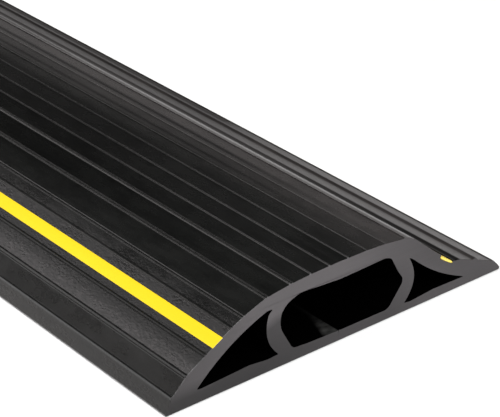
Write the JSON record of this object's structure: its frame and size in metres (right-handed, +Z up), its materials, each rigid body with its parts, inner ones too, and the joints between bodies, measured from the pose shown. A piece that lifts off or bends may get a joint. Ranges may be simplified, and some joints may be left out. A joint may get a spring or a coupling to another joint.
{
  "type": "cable cover",
  "caption": "Straight length of flexible floor cable cover: low ramped top with lengthwise ribs, flat slit base, lengthwise channels and yellow edge stripes.",
  "frame": {"origin": "centre of the bounding box's bottom face, on the floor under the middle of the length", "axes": "+Y along the extrusion, +X across it from the left toe to the right toe, +Z up from the flat base"},
  "size_m": [0.083, 1.8, 0.0172],
  "materials": {
    "black_pvc": "flexible black extrusion, satin with a fine grain, matte grey where it is cut",
    "yellow_pvc": "smooth yellow co-extruded line"
  },
  "bodies": {
    "root": {"cover": "black_pvc", "stripe_left": "yellow_pvc", "stripe_right": "yellow_pvc"}
  },
  "joints": []
}
